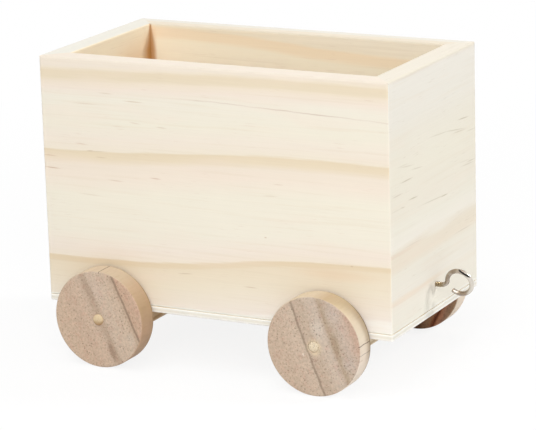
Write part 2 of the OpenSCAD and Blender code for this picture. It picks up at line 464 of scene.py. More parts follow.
# %% Pine finish
def pine(name, bands, rise, lean, seed, shift, marks, turn=0.0, hump=(0.0, 0.0), flecks=(),
         fleck_tones=("C4AC8A", "C8A488"), stripy=0.16):
    """Sawn pine: its figure, resin in two tones, and the board's own marks, made by a function."""
    material, tree, shader = surface(name, gloss=0.32)
    space = grain_space(tree, turn, shift)
    height = band_height(tree, space, rise, hump, lean, seed)
    colour, fibre = pine_figure(tree, space, height, bands, stripy, seed)
    zone = grain(tree, space, (30.0, 20.0, 9.0), seed + 4, 1.0)
    sap = resin(tree, space, flecks, zone, seed)
    first, second = [tone(code) for code in fleck_tones]
    fleck_tone = over(tree, first, second, between(tree, zone, 0.4, 0.6))
    colour = over(tree, colour, fleck_tone, product(tree, sap, 0.7))
    colour = marks(tree, space, colour)

    rough = between(tree, fibre, 0.3, 0.7, 0.66, 0.54, smooth=False)
    hair = grain(tree, space, (9.0, 0.22, 0.2), seed + 5, 2.0)
    relief = calc(tree, "SUBTRACT", calc(tree, "MULTIPLY_ADD", hair, 0.5, fibre), sap)
    dress(tree, shader, colour, rough, relief, strength=0.35, depth=0.12)
    return material


print("sawn pine is ready for four boards")

# %% [markdown]
# ## The right board
# It is the wagon's best face. Three tan bands cross it: one just under the rim, one past the middle,
# and a wide one low down that climbs about 10 mm on its way to the hook end. Between them the wood
# goes from a rosy cream next to a band to a cooler, greener cream further off. A drying check, a crack
# as thin as a hair, runs in from the hook end below the upper band and is darkest two thirds of the
# way from the middle to the hook end. It could be cut into the mesh, but it has no width to speak of,
# so a thin line in the colour does it.

# %% Right board: bands and flecks
right_bands = [
    (2.5, "F9F4EC"), (3.6, "F4EADF"), (8, "F3E8D8"), (15, "F0E4CE"), (19.5, "EFE1C9"), (22.3, "EDDEC5"),
    (23.0, "E9D7B9"), (24.6, "E8D5B6"), (25.2, "F3E7D6"), (29, "F4E8DA"), (35, "F3ECDC"),
    (50, "F3ECDB"), (57, "F4E7D7"), (61.4, "F2E5D4"), (64.2, "ECDCC1"), (66.8, "E9D8BB"),
    (67.3, "F2E7D5"), (72, "F3E8D9"), (78, "F2EBDA"), (88, "F2EBDC"), (91.5, "F3E6D7"),
    (94.4, "F1E3CF"), (95.6, "EBDCC2"), (98.2, "EADABF"), (99.4, "F1E4D0"), (100.5, "F2E6D6"),
    (104, "F2E6D6"),
]
right_flecks = [
    (-47.0, 89.2, 9.0, 0.4, 1.0), (-34.5, 86.7, 12.0, 0.65, 1.0), (-56.5, 84.3, 14.0, 0.35, 0.0),
    (-34.0, 78.0, 7.0, 0.4, 5.0), (-22.0, 77.1, 7.0, 0.5, 2.0), (-59.5, 67.5, 8.0, 0.55, 2.0),
    (-53.0, 64.9, 15.0, 0.45, -2.0), (-55.3, 64.9, 5.0, 0.85, -3.0), (-50.5, 62.6, 7.0, 0.5, 0.0),
    (-74.5, 61.5, 10.0, 0.6, 2.0), (-73.5, 56.4, 10.0, 0.95, 2.0), (-44.0, 53.5, 10.0, 0.5, 2.0),
    (-25.5, 56.0, 7.0, 0.75, 2.0), (-56.0, 46.6, 16.0, 0.3, 2.0),
    (29.5, 58.5, 6.0, 0.35, 0.0), (26.0, 53.6, 9.0, 0.35, -2.0), (23.3, 36.5, 1.6, 0.8, 0.0),
    (60.7, 28.6, 1.8, 0.7, 0.0), (-13.5, 17.8, 9.0, 0.6, -5.0), (16.0, 15.3, 8.0, 0.65, 0.0),
]
check_depths = [
    (-24, 0.0), (-8, 0.1), (-5.5, 0.22), (-2, 0.14), (9, 0.2), (18, 0.11), (33, 0.28), (37, 0.18),
    (48, 0.34), (57, 0.18), (68, 0.1), (78, 0.16),
]
print("right board:", len(right_bands), "band tones,", len(right_flecks), "flecks")

# %% Right board
def drying_check(tree, space, along, height):
    """How much of the crack is here: a wavering line that falls gently towards the hook end."""
    wave = wander(tree, space, (7.0, 9.0, 40.0), 61)
    line = between(tree, along, 2.0, 77.0, 89.4, 86.8, smooth=False)
    line = calc(tree, "MULTIPLY_ADD", wave, 0.7, line)
    away = calc(tree, "ABSOLUTE", calc(tree, "SUBTRACT", height, line))
    thin = between(tree, away, 0.05, 0.38, 1.0, 0.0)
    return product(tree, thin, amounts_along(tree, along, -24.0, 78.0, check_depths))


def right_marks(tree, space, colour):
    """The check, a warm patch in the low band over the front wheel, a pale lower edge that is painted
    light, and the sanded rim.
    """
    along, _, height = split(tree, space)
    colour = over(tree, colour, tone("A06C48"), drying_check(tree, space, along, height))
    # A warm patch in the low band, just over the front wheel.
    warm_patch = spot(tree, space, centre=(54.0, 0.0, 24.6), size=(50.0, 8.0, 8.0), soft=0.9)
    colour = over(tree, colour, tone("EBC7A0"), product(tree, warm_patch, 0.26))
    # Painted light: the lower edge is lightened, so its rounded corner, which lies in shade, stays pale.
    colour = over(tree, colour, tone("FFFDF5"), between(tree, height, 3.5, 3.1))
    return over(tree, colour, tone("ECE0D0"), between(tree, height, 102.1, 102.6))


wear("right_side_board", pine(
    "pine_right_board", right_bands, rise=(5.2, 1.3, 40.0), lean=0.25, seed=3,
    shift=(0.0, side_face, -floor_foot), marks=right_marks, hump=(-1.2, 1.3), flecks=right_flecks,
))

# %% [markdown]
# ## The left board
# It is seen mostly from inside, where a warm band hangs under its rim, and where its upper tones are
# brightened and warmed as painted light, for the light that bounces round inside the box. The corner
# next to the rear board is darkened as painted shade, in two parts: a broad faint one, and a narrow
# wedge in the corner itself that gets wider downwards. The rim was sanded to cleaner wood.

# %% Left board: bands
# Above about 72 mm these tones are brightened and warmed as painted light, for the warm light that bounces
# round inside the box; the band near 95 mm is the wood's own.
left_bands = [
    (0, "F1E4CC"), (14, "F2E7D2"), (18, "EBD6B2"), (21, "F1E5CE"), (40, "F3E9D5"), (52, "F0E2C6"),
    (55, "EAD5AE"), (57, "F2E6CF"), (72, "F4E9D4"), (82, "FDF1DA"), (92.5, "FEF3DB"), (94.5, "FDEACC"),
    (97.5, "FDE9CA"), (98.8, "FEF2DB"), (104, "FEF3DE"),
]
print("left board:", len(left_bands), "band tones")

# %% Left board
def painted_corner_shade(tree, away, height, top, foot):
    """Painted corner shade, brown, by the distance away from a corner: a line at the rim that gets wider
    downwards.
    """
    reach = between(tree, height, 102.0, 91.0, top, foot, smooth=False)
    return between(tree, calc(tree, "DIVIDE", away, reach), 0.2, 1.0, 0.75, 0.0)


def left_marks(tree, space, colour):
    """Painted shade on the inner face in the corner next to the rear board, and the paler wood of the rim.
    """
    along, through, height = split(tree, space)
    # Painted shade in the corner next to the rear board: a broad faint part, then a narrow wedge that
    # widens downwards.
    near = between(tree, along, -end_inner, 3.5 - end_inner, 0.7, 0.0)
    inside = between(tree, through, 0.3, 1.5, 1.0, 0.0)
    low = between(tree, height, 101.5, 94.0, 0.25, 1.0)
    colour = over(tree, colour, tone("CE9C62"), product(tree, near, low, inside))
    corner_shade = painted_corner_shade(tree, calc(tree, "ADD", along, end_inner), height, top=0.7, foot=3.2)
    colour = over(tree, colour, tone("C08C55"), product(tree, corner_shade, inside))
    rim = over(tree, tone("E7DBC6"), tone("E7E2D6"), between(tree, through, 3.5, 6.0))
    return over(tree, colour, rim, between(tree, height, 101.8, 102.5))


wear("left_side_board", pine(
    "pine_left_board", left_bands, rise=(-3.5, -3.0, 30.0), lean=-0.1, seed=19,
    shift=(0.0, -side_inner, -floor_foot), marks=left_marks,
))

# %% [markdown]
# ## The front board
# The end boards are the same pine, but their grain runs across the wagon, so the grain space is turned
# a quarter about Z. On the front board its X starts at the right-hand edge. It is a cooler piece: its
# upper part is plain, its middle is streaked with short resin flecks, and two thin bands lie low down,
# the lower one just above the hook. They are reddish near the right-hand edge and then go grey, which
# one set of bands can't say, so three soft marks do it.

# %% Front board: bands and flecks
front_bands = [
    (2.5, "FAF8F0"), (3.6, "F3EFE2"), (10, "F3EDE0"), (13.2, "F3EBDD"), (14.0, "F0E2D0"), (15.2, "F1E6D5"),
    (16.2, "F2ECE0"), (25, "F1EBDD"), (28.0, "EFE4D2"), (32.6, "EEE4D2"), (34.2, "EFE6D6"),
    (36.4, "F4EEE2"), (43, "F1ECDE"), (50, "F0E9DA"), (66, "F0EADA"), (78, "EFE9DB"), (86, "EFEADF"),
    (101.5, "F0EBE1"), (102.5, "E9E1D1"), (104, "E9E1D1"),
]
front_flecks = [
    (16.0, 66.4, 17.0, 0.33, 7.0), (25.5, 63.5, 15.0, 0.37, 6.0), (15.5, 60.9, 16.0, 0.66, 1.0),
    (7.0, 56.8, 14.0, 0.45, 1.0), (21.5, 52.4, 12.0, 0.7, 3.0), (6.0, 51.1, 16.0, 0.2, 1.0),
    (11.5, 51.0, 6.0, 0.45, 4.0), (41.0, 47.0, 34.0, 0.41, 3.0), (51.2, 46.3, 10.0, 0.74, 2.0),
    (48.0, 72.2, 26.0, 0.33, 4.0), (63.0, 70.5, 28.0, 0.41, 8.0), (67.0, 69.1, 18.0, 0.41, 4.0),
    (71.0, 73.6, 15.0, 0.66, 4.0), (75.0, 53.7, 18.0, 0.37, 3.0), (78.5, 54.5, 12.0, 0.41, 2.0),
    (72.0, 55.6, 14.0, 0.2, 3.0), (20.0, 34.2, 24.0, 0.2, 1.0), (70.0, 27.6, 24.0, 0.29, 1.0),
    (12.0, 67.5, 14.0, 0.25, 2.0), (79.0, 67.2, 14.0, 0.29, 3.0),
]
print("front board:", len(front_bands), "band tones,", len(front_flecks), "flecks")

# %% Front board
def front_marks(tree, space, colour):
    """A reddish line that fades out along the upper band, a grey dip in it, and the lower band's end."""
    along, _, height = split(tree, space)
    wave = wander(tree, space, (16.0, 9.0, 30.0), 39)
    above = calc(tree, "SUBTRACT", height, 33.4)
    away = calc(tree, "ABSOLUTE", calc(tree, "MULTIPLY_ADD", wave, 2.2, above))
    fade = between(tree, along, 4.0, 38.0, 1.0, 0.0)
    line = product(tree, between(tree, away, 0.2, 1.2, 0.25, 0.0), fade)
    colour = over(tree, colour, tone("DFC2A8"), line)
    dip = spot(tree, space, centre=(45.0, 0.0, 34.4), size=(38.0, 60.0, 5.0), soft=0.9)
    colour = over(tree, colour, tone("F3EDE0"), product(tree, dip, 0.7))
    low = between(tree, height, 17.0, 16.0)
    far = between(tree, along, 34.0, 60.0, 0.0, 0.8)
    return over(tree, colour, tone("F2ECDF"), product(tree, low, far, between(tree, height, 3.2, 4.2)))


wear("front_end_board", pine(
    "pine_front_board", front_bands, rise=(0.8, -0.6, 60.0), lean=0.2, seed=37,
    shift=(side_face, end_face, -floor_foot), marks=front_marks, turn=-90.0, flecks=front_flecks,
    fleck_tones=("A09168", "A58F6C"), stripy=0.09,
))

# %% [markdown]
# ## The rear board
# Its inside is seen from the front, over the right board, with the other half of the shaded corner.
# The painted corner shade spreads further along this board, fainter as it goes, so its broad part has
# two fades, one inside the other. Two tan bands cross the board, one low down and one halfway up, and
# its tones go warmer towards the rim, partly as painted light for the warm light that bounces round
# inside the box.

# %% Rear board: bands
# Towards the rim these tones grow warmer, partly as painted light for the warm light that bounces round
# inside the box.
rear_bands = [
    (0, "F1E6D2"), (9, "F0E2C9"), (12, "EAD6B2"), (14, "F2E6D2"), (33, "F3E9D9"), (45, "F1E3CC"),
    (47, "EBD8B6"), (52, "EDDCBD"), (53.5, "F3E8D6"), (70, "F2E8D8"), (84, "F6E9D4"), (90, "F8E9CF"),
    (104, "FAEBCF"),
]
print("rear board:", len(rear_bands), "band tones")

# %% Rear board
def rear_marks(tree, space, colour):
    """Painted shade, brown, down the corner next to the left board, and the sanded rim."""
    along, through, height = split(tree, space)
    # Painted shade in the corner next to the left board: a broad faint part with two fades, then a narrow
    # wedge.
    low = between(tree, height, 100.7, 91.7, smooth=False)
    near = between(tree, along, 24.0, 32.0, 0.36, 1.0)
    fade = between(tree, along, -8.0, 18.0)
    inside = between(tree, through, -9.0, -8.0, 1.0, 0.0)
    colour = over(tree, colour, tone("D2985A"), product(tree, low, near, fade, inside))
    corner_shade = painted_corner_shade(tree, calc(tree, "SUBTRACT", side_inner, along), height, top=1.3, foot=4.2)
    colour = over(tree, colour, tone("C69052"), product(tree, corner_shade, inside))
    return over(tree, colour, tone("E8E4D8"), between(tree, height, 102.4, 102.68))


wear("rear_end_board", pine(
    "pine_rear_board", rear_bands, rise=(2.4, 0.6, 26.0), lean=-0.05, seed=53,
    shift=(0.0, -end_face, -floor_foot), marks=rear_marks, turn=-90.0,
))

# %% [markdown]
# ## The plywood floor
# The floor is three-ply: two veneers peeled off a log, with a core between them whose grain runs the
# other way. On its edges the plies show as stripes, paler and cooler than the boards above. Peeled
# veneer has broad, flame-like figure, so on the faces the rings come from noise that is itself cut
# into contour lines. Faces and edges could be two materials, but the solid is one piece without a
# place to divide them, so the Geometry node's Normal tells one from the other.

# %% Plies
plies = [
    (0, "FBF8F2"), (0.7, "FAF7F0"), (0.85, "F0EBDF"), (1.6, "F0EBDF"), (1.75, "F7F4EC"),
    (2.1, "F9F7F0"), (2.5, "FEFDF8"),
]
print("plywood is", plies[-1][0], "mm thick")

# %% Plywood
def facing(tree, axis):
    """How squarely a face looks along an axis, one way or the other: 1 for straight along it."""
    normal = add(tree, "ShaderNodeNewGeometry").outputs["Normal"]
    return calc(tree, "ABSOLUTE", split(tree, normal)[axis])


def plywood():
    """Flame figure on the faces, stripes of ply on the edges."""
    material, tree, shader = surface("plywood_floor", gloss=0.32)
    space = grain_space(tree, shift=(0.0, 0.0, -floor_foot))
    height = split(tree, space)[2]
    hill = grain(tree, space, (95.0, 26.0, 30.0), 71, 2.0, 0.4)
    contour = calc(tree, "PINGPONG", product(tree, hill, 15.0), 1.0)
    face = over(tree, tone("F6EDDB"), tone("ECDBBA"), between(tree, contour, 0.55, 1.0, 0.0, 0.8))
    fibre = grain(tree, space, (16.0, 0.4, 3.0), 72)
    face = shaded(tree, face, between(tree, fibre, 0.3, 0.7, 0.96, 1.015, smooth=False))

    edge = tones_along(tree, height, 0.0, 2.5, plies)
    speck = grain(tree, space, (0.6, 0.6, 0.25), 73, 2.0)
    edge = shaded(tree, edge, between(tree, speck, 0.3, 0.7, 0.975, 1.01, smooth=False))
    colour = over(tree, edge, face, between(tree, facing(tree, axis=2), 0.5, 0.95))
    dress(tree, shader, colour, between(tree, fibre, 0.3, 0.7, 0.68, 0.56), fibre, strength=0.3, depth=0.1)
    return material


wear("floor_board", plywood())

# %% [markdown]
# ## Bearers
# Two planed strips of the same pine lie across the wagon under the floor. They are narrow, so their
# rings are close together, and they were cut from a browner part of the tree. Bands laid out one by
# one would be wasted on them: a Ping-Pong turns the height into rings that repeat.

# %% Bearers
def strip_pine(name, seed, centre, pale, brown):
    """Close rings between a pale and a brown tone, on a strip whose middle lies at a place along X."""
    material, tree, shader = surface(name, gloss=0.3)
    space = grain_space(tree, turn=-90.0, shift=(0.0, centre, 0.0))
    _, through, height = split(tree, space)
    ring = calc(tree, "MULTIPLY_ADD", through, 0.35, height)
    drift = wander(tree, space, (30.0, 9.0, 9.0), seed, 2.0)
    ring = calc(tree, "PINGPONG", calc(tree, "MULTIPLY_ADD", drift, 3.0, ring), 1.5)
    colour = over(tree, tone(pale), tone(brown), between(tree, ring, 0.5, 1.5, 0.0, 0.85))
    fibre = grain(tree, space, (20.0, 0.5, 0.5), seed + 1, 4.0)
    colour = shaded(tree, colour, between(tree, fibre, 0.3, 0.7, 0.94, 1.02, smooth=False))
    dress(tree, shader, colour, between(tree, fibre, 0.3, 0.7, 0.7, 0.58), fibre, strength=0.4, depth=0.12)
    return material


wear("front_bearer", strip_pine(
    "pine_front_bearer", seed=81, centre=axle_place, pale="F1E2CC", brown="E0C8A6",
))
wear("rear_bearer", strip_pine(
    "pine_rear_bearer", seed=87, centre=-axle_place, pale="E4C6A2", brown="C69A6E",
))

# %% [markdown]
# ## Wheels cut across the bar
# Each wheel is a slice of a thick round bar of hardwood. Its flat faces are end grain, which drinks
# light and looks darker and rosier, and its rim is side grain, paler and golden. One space serves
# both, measured from the wheel's middle: noise in patches that are long along Y gives dots on a face
# and strokes on the rim, as real pores do. A Mapping node turns the space about the axle, so that each
# wheel has its own direction of rings.

# %% Wheel space
wheel_reach = 20.0


def turned(tree, space, angle):
    """A space turned about the axle by an angle in degrees."""
    settings = {"Vector": space, "Rotation": (0.0, math.radians(angle), 0.0)}
    return add(tree, "ShaderNodeMapping", settings).outputs[0]


def wheel_space(tree, node, turn):
    """Millimetres from a solid's middle, and the same turned so that X crosses the rings."""
    low, high = [Vector(corner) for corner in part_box(node)]
    centre = (low + high) / 2
    place = add(tree, "ShaderNodeTexCoord").outputs["Object"]
    settings = {"Vector": place, "Scale": (1000.0,) * 3, "Location": -1000.0 * centre}
    middle = add(tree, "ShaderNodeMapping", settings).outputs[0]
    return middle, turned(tree, middle, turn)


print("rings are laid out to", wheel_reach, "mm from a wheel's middle")

# %% [markdown]
# ## Yearly rings
# They cross a wheel as straight or slightly bowed lines, one of them sharp and dark. They could be a
# Wave texture, but that repeats, and real rings don't, so they are tones laid out across the wheel as
# the bands are on a board. The figure between them comes from oval stains in their own places.

# %% Ring tones
def ring_tones(tree, space, across, along, rings, bow, marks, seed):
    """Tones across the wheel on rings that bow and drift, and then its stains.

    marks: where across and along, how large, how steep, what tone, how strong and how soft.
    """
    bent = calc(tree, "POWER", calc(tree, "DIVIDE", along, wheel_reach), 2.0)
    bent = calc(tree, "MULTIPLY_ADD", bent, bow, across)
    drift = wander(tree, space, (9.0, 30.0, 14.0), seed)
    bent = calc(tree, "MULTIPLY_ADD", drift, 1.8, bent)
    face = tones_along(tree, bent, -wheel_reach, wheel_reach, rings)
    for (x, z), size, fall, code, amount, soft in marks:
        mark = spot(tree, space, (x, 0.0, z), (size[0], 60.0, size[1]), soft, fall)
        face = over(tree, face, tone(code), product(tree, mark, amount))
    return face


print("rings are laid out across a wheel")

# %% [markdown]
# ## End grain
# Pores are round vessels cut across. A Voronoi texture has one middle to each of its cells, so each
# cell gives one dot of about the same size, and the cell's random colour decides whether there is a
# dot at all. Noise alone would give blots of every size. A fine and a wide set lie over a mottling,
# rosy clouds and faint rays that run from the heart outwards.

# %% Pores
def pores(tree, space, wide, deep, seed, share):
    """Round vessels in end grain: one to a Voronoi cell, in a share of the cells, drawn out along Y."""
    settings = {"Vector": space, "Scale": (1.0 / wide, 1.0 / deep, 1.0 / wide)}
    settings["Location"] = (seed, 0.0, seed)
    place = add(tree, "ShaderNodeMapping", settings).outputs[0]
    cell = add(tree, "ShaderNodeTexVoronoi", {"Vector": place, "Scale": 1.0}, feature="F1")
    chance = add(tree, "ShaderNodeSeparateColor", {0: cell.outputs["Color"]}).outputs[0]
    inside = between(tree, cell.outputs["Distance"], 0.16, 0.34, 1.0, 0.0)
    return product(tree, inside, between(tree, chance, 1.0 - share, 1.05 - share))


print("a pore to a cell")

# %% End grain
def end_grain(tree, space, face, seed):
    """Mottling, clouds, rays and pores over a face, and the mottling and wide pores on their own."""
    mottle = grain(tree, space, (1.0, 9.0, 1.1), seed + 1, 2.0, 0.7)
    face = shaded(tree, face, between(tree, mottle, 0.32, 0.68, 1.13, 0.895, smooth=False))
    rosy = grain(tree, space, (2.6, 9.0, 3.4), seed + 2, 3.0, 0.6)
    face = over(tree, face, tone("FAE7E6"), between(tree, rosy, 0.48, 0.72, 0.0, 0.5), "MULTIPLY")
    ray = grain(tree, space, (6.0, 10.0, 0.6), seed + 3, 2.0)
    face = shaded(tree, face, between(tree, ray, 0.35, 0.7, 0.98, 1.03, smooth=False))
    crowd = between(tree, grain(tree, space, (7.0, 30.0, 9.0), seed + 4, 2.0), 0.4, 0.62, 0.2, 1.0)
    fine = pores(tree, space, 0.85, 9.0, seed * 0.41, share=0.8)
    face = over(tree, face, tone("E2DAD6"), fine, "MULTIPLY")
    vessel = product(tree, pores(tree, space, 1.35, 9.0, seed * 0.37, share=0.45), crowd)
    face = over(tree, face, tone("D6D3D2"), vessel, "MULTIPLY")
    return face, mottle, vessel


print("end grain is ready")

# %% [markdown]
# ## The rim of a wheel
# Round the rim the wood turns from side grain cut along the rings to side grain cut across them, and
# its tone turns with it; the tones also carry painted shade, darker where the rim lay in shade. The
# Math node's Arctan2 gives the angle by which those tones are laid out. Next to the box the rim is
# darkened as painted shade, most of it on the side towards the hook end, and the inner edge is the
# darkest. A drying crack across the rim is a thin line, as on the right board.

# %% Side grain
def side_grain(tree, middle, inner, mottle, vessel, rim, painted_rim_shade):
    """Tones round the rim, with short strokes of pore, and painted shade on the edge next to the box."""
    ahead, _, up = split(tree, middle)
    bearing = calc(tree, "MULTIPLY", calc(tree, "ARCTAN2", up, ahead), 180.0 / math.pi)
    side = tones_along(tree, bearing, -180.0, 180.0, rim)
    side = shaded(tree, side, between(tree, mottle, 0.3, 0.7, 1.02, 0.975, smooth=False))
    side = over(tree, side, tone("B79672"), product(tree, vessel, 0.3))
    # Painted shade on the rim next to the box, darkest at this angle above +X.
    shadiest_bearing = 20.0
    off = calc(tree, "ABSOLUTE", calc(tree, "SUBTRACT", bearing, shadiest_bearing))
    rim_painted_shade = between(tree, off, 10.0, 65.0, painted_rim_shade, 0.0)
    side = over(tree, side, tone("A3865C"), product(tree, between(tree, inner, -1.5, 4.6), rim_painted_shade))
    # Painted shade: the inner edge, in the gap next to the box, is darkest of all.
    edge = between(tree, up, 13.0, 18.0, 0.25 + 1.2 * painted_rim_shade, 0.1)
    return over(tree, side, tone("6B5236"), product(tree, between(tree, inner, 3.6, 4.4), edge))


def rim_crack(tree, middle, angle, inwards, thin, seed):
    """A drying crack across the rim at an angle from +X, that dies out towards the middle."""
    out, _, aside = split(tree, turned(tree, middle, angle))
    wave = wander(tree, middle, (2.5, 4.0, 2.5), seed, 2.0)
    away = calc(tree, "ABSOLUTE", calc(tree, "MULTIPLY_ADD", wave, 0.7, aside))
    line = between(tree, away, thin * 0.3, thin, 1.0, 0.0)
    return product(tree, line, between(tree, out, wheel_reach - inwards, wheel_reach - 0.2))


print("side grain is ready")

# %% Wheel finish
def wheel_wood(node, turn, bow, rings, rim, cracks, seed, marks=(), painted_rim_shade=0.1):
    """End grain on the faces, side grain on the rim, from one set of rings and pores.

    turn: which way the rings lie. bow: how much they bulge. rings: tones across the wheel. rim: tones
    round the rim, by the angle above +X. cracks: at what angle, how far inwards, how thin, how dark.
    Last argument: how much painted shade the rim gets next to the box, from 0 to 1.
    """
    material, tree, shader = surface("wheel_wood_" + node.replace("_wheel", ""), gloss=0.3)
    middle, space = wheel_space(tree, node, turn)
    across, axle, along = split(tree, space)
    face = ring_tones(tree, space, across, along, rings, bow, marks, seed)
    face, mottle, vessel = end_grain(tree, space, face, seed)
    towards_box = -1.0 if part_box(node)[0][1] > 0.0 else 1.0
    inner = calc(tree, "MULTIPLY", axle, towards_box)
    side = side_grain(tree, middle, inner, mottle, vessel, rim, painted_rim_shade)
    colour = over(tree, side, face, between(tree, facing(tree, axis=1), 0.35, 0.85))
    for angle, inwards, thin, dark in cracks:
        crack = rim_crack(tree, middle, angle, inwards, thin, seed + 5)
        colour = over(tree, colour, tone("5A4132"), product(tree, crack, dark))
    rough = between(tree, mottle, 0.3, 0.7, 0.6, 0.74)
    relief = calc(tree, "SUBTRACT", mottle, vessel)
    dress(tree, shader, colour, rough, relief, strength=0.5, depth=0.15)
    return material


print("wheel finish ready")

# %% [markdown]
# ## The two right wheels
# Both are a greyish brown with one dark ring, close to the middle of the front wheel and near the edge
# of the rear one. The front wheel is paler round its axle, and its rim gets the more painted shade of
# the two. The rings are straight enough to be laid out as tones, and the stains between them are ovals,
# each with a soft edge, because no ring explains them; one small pale oval on the front wheel is a
# painted highlight on a glue drop.

# %% Front right wheel: tones and stains
front_right_rings = [
    (-20, "C8B19C"), (-12, "C6B09B"), (-6, "CBB6A2"), (-3.7, "C8B4A0"), (-3.15, "A08C7A"),
    (-2.85, "A08C7A"), (-2.3, "C1AC98"), (1, "C1AD99"), (4, "CAB8A6"), (6.5, "C9B7A6"),
    (8.0, "BEAA97"), (9.0, "B49F88"), (10.8, "BFAC99"), (14, "C6B3A3"), (16.5, "C7B09E"),
    (18.5, "C4A793"), (20, "C4A793"),
]
front_right_marks = [
    ((9.6, -1.6), (5.0, 13.0), 6.0, "AE9981", 0.85, 0.7),
    ((4.4, 6.0), (8.0, 12.0), 0.0, "D6CABC", 0.55, 0.8),
    ((13.0, 10.0), (8.0, 9.0), 0.0, "C9B9AC", 0.6, 0.8),
    ((12.0, -10.5), (7.0, 8.0), 0.0, "C6B9AE", 0.5, 0.8),
    ((0.3, -0.3), (8.0, 8.8), 0.0, "E6D3B2", 0.8, 0.6),
    # A painted highlight: the glint on a small glue drop left of the axle.
    ((-5.4, -1.7), (1.5, 1.8), 0.0, "F0E8DC", 0.6, 0.8),
]
# Tones round the rim, partly the wood's own and partly painted shade, darker where this rim lay in shade.
front_right_rim = [
    (-180, "DFD0BC"), (-50, "EFE0D2"), (-8, "ECDCCB"), (18, "DBCDB7"), (35, "D3C2AA"), (60, "CEBA99"),
    (76, "CAB291"), (92, "DAC8AE"), (120, "DCC9AC"), (180, "DFD0BC"),
]
print("front right wheel:", len(front_right_rings), "ring tones")

# %% Front right wheel
wear("front_right_wheel", wheel_wood(
    "front_right_wheel", turn=21.3, bow=-0.5, rings=front_right_rings, rim=front_right_rim,
    cracks=[(6.6, 0.6, 0.26, 0.75), (-4.5, 0.6, 0.22, 0.4)], seed=101, marks=front_right_marks, painted_rim_shade=0.5,
))

# %% Rear right wheel: tones and stains
rear_right_rings = [
    (-20, "CBB39C"), (-13, "CBB29B"), (-8, "C7AE98"), (-4, "CCB49E"), (-1.4, "C8B19C"), (0.8, "BAA38E"),
    (1.8, "BBA590"), (3.6, "CBB6A2"), (8, "CDB8A3"), (12, "CAB39D"), (13.6, "C0A791"), (14.0, "99836F"),
    (14.4, "9C8470"), (14.9, "C5A890"), (20, "CAAB94"),
]
rear_right_marks = [
    ((1.3, 13.0), (4.4, 13.0), -8.0, "AF9783", 0.6, 0.7),
    ((0.0, -14.0), (3.4, 12.0), 4.0, "9F8672", 0.8, 0.7),
    ((10.6, -12.5), (4.5, 9.0), 8.0, "CFC0AE", 0.7, 0.8),
    ((5.0, 11.0), (7.0, 12.0), 0.0, "CDB7A6", 0.5, 0.8),
]
# Tones round the rim, partly the wood's own and partly painted shade, darker where this rim lay in shade;
# the rear left wheel shares them.
rear_right_rim = [
    (-180, "D1BDA3"), (-48, "C1A38A"), (-10, "CFAC8E"), (18, "C2A482"), (45, "CAAF92"), (62, "CDB99E"),
    (85, "D1BCA2"), (105, "D8C3A8"), (180, "D1BDA3"),
]
print("rear right wheel:", len(rear_right_rings), "ring tones")

# %% Rear right wheel
wear("rear_right_wheel", wheel_wood(
    "rear_right_wheel", turn=24.6, bow=0.3, rings=rear_right_rings, rim=rear_right_rim,
    cracks=[(87.5, 0.8, 0.26, 0.7), (-58.0, 1.5, 0.2, 0.4)], seed=131, marks=rear_right_marks,
))

# %% [markdown]
# ## The two left wheels
# They came off other bars. The front one is red heartwood, almost the brown of a cherry stone where it
# is darkest; its tones are darkened and reddened beyond the wood's own as painted shade, for the
# wagon's shadow that it stands in. Its rim is a pale pink sapwood. The rear one is like the rear right
# wheel, whose rim tones, painted shade included, it shares. The box hides most of them from the
# camera, so they have no stains of their own, only their rings and one crack each.

# %% Front left wheel
# These tones are darkened and reddened beyond the wood's own as painted shade, for the wagon's shadow over
# this wheel.
front_left_rings = [
    (-20, "C19A80"), (-12, "BE937A"), (-5, "B88A6E"), (3, "9C6E54"), (7, "7A523A"), (9.5, "6E4C36"),
    (12.2, "9C7A60"), (13.7, "9A6E50"), (14.4, "7C4426"), (15.0, "5E2F14"), (15.4, "7A4528"),
    (15.8, "B0795A"), (16.6, "B9886E"), (17.5, "A07A64"), (18.5, "A08069"), (20, "A88668"),
]
pale_rim = [
    (-180, "F1E0CC"), (-160, "F7E6D4"), (-90, "F3DFCB"), (-20, "F7E6D4"), (12, "EEDCC4"), (90, "E8D2B2"),
    (168, "EEDCC4"), (180, "F1E0CC"),
]
wear("front_left_wheel", wheel_wood(
    "front_left_wheel", turn=-24.8, bow=0.0, rings=front_left_rings, rim=pale_rim,
    cracks=[(140.0, 3.0, 0.26, 0.7)], seed=157,
))

# %% Rear left wheel
rear_left_rings = [
    (-20, "C8AF99"), (-10, "C5AB95"), (0, "CAB19B"), (5.4, "BFA690"), (6.0, "947E6B"), (6.6, "C1A893"),
    (13, "C9B5A4"), (20, "C7AE98"),
]
wear("rear_left_wheel", wheel_wood(
    "rear_left_wheel", turn=71.0, bow=-1.0, rings=rear_left_rings, rim=rear_right_rim,
    cracks=[(-20.0, 2.5, 0.24, 0.6)], seed=181,
))

# %% [markdown]
# ## Axles
# The axles are bought dowel, a pale wood with pores like pin pricks. Their sides are side grain and
# their sawn ends are end grain, so they get the same trick as the wheels, at a finer scale. The lower
# part of each end is browner, as painted shade under its rounded end, most of it on the rear axle.

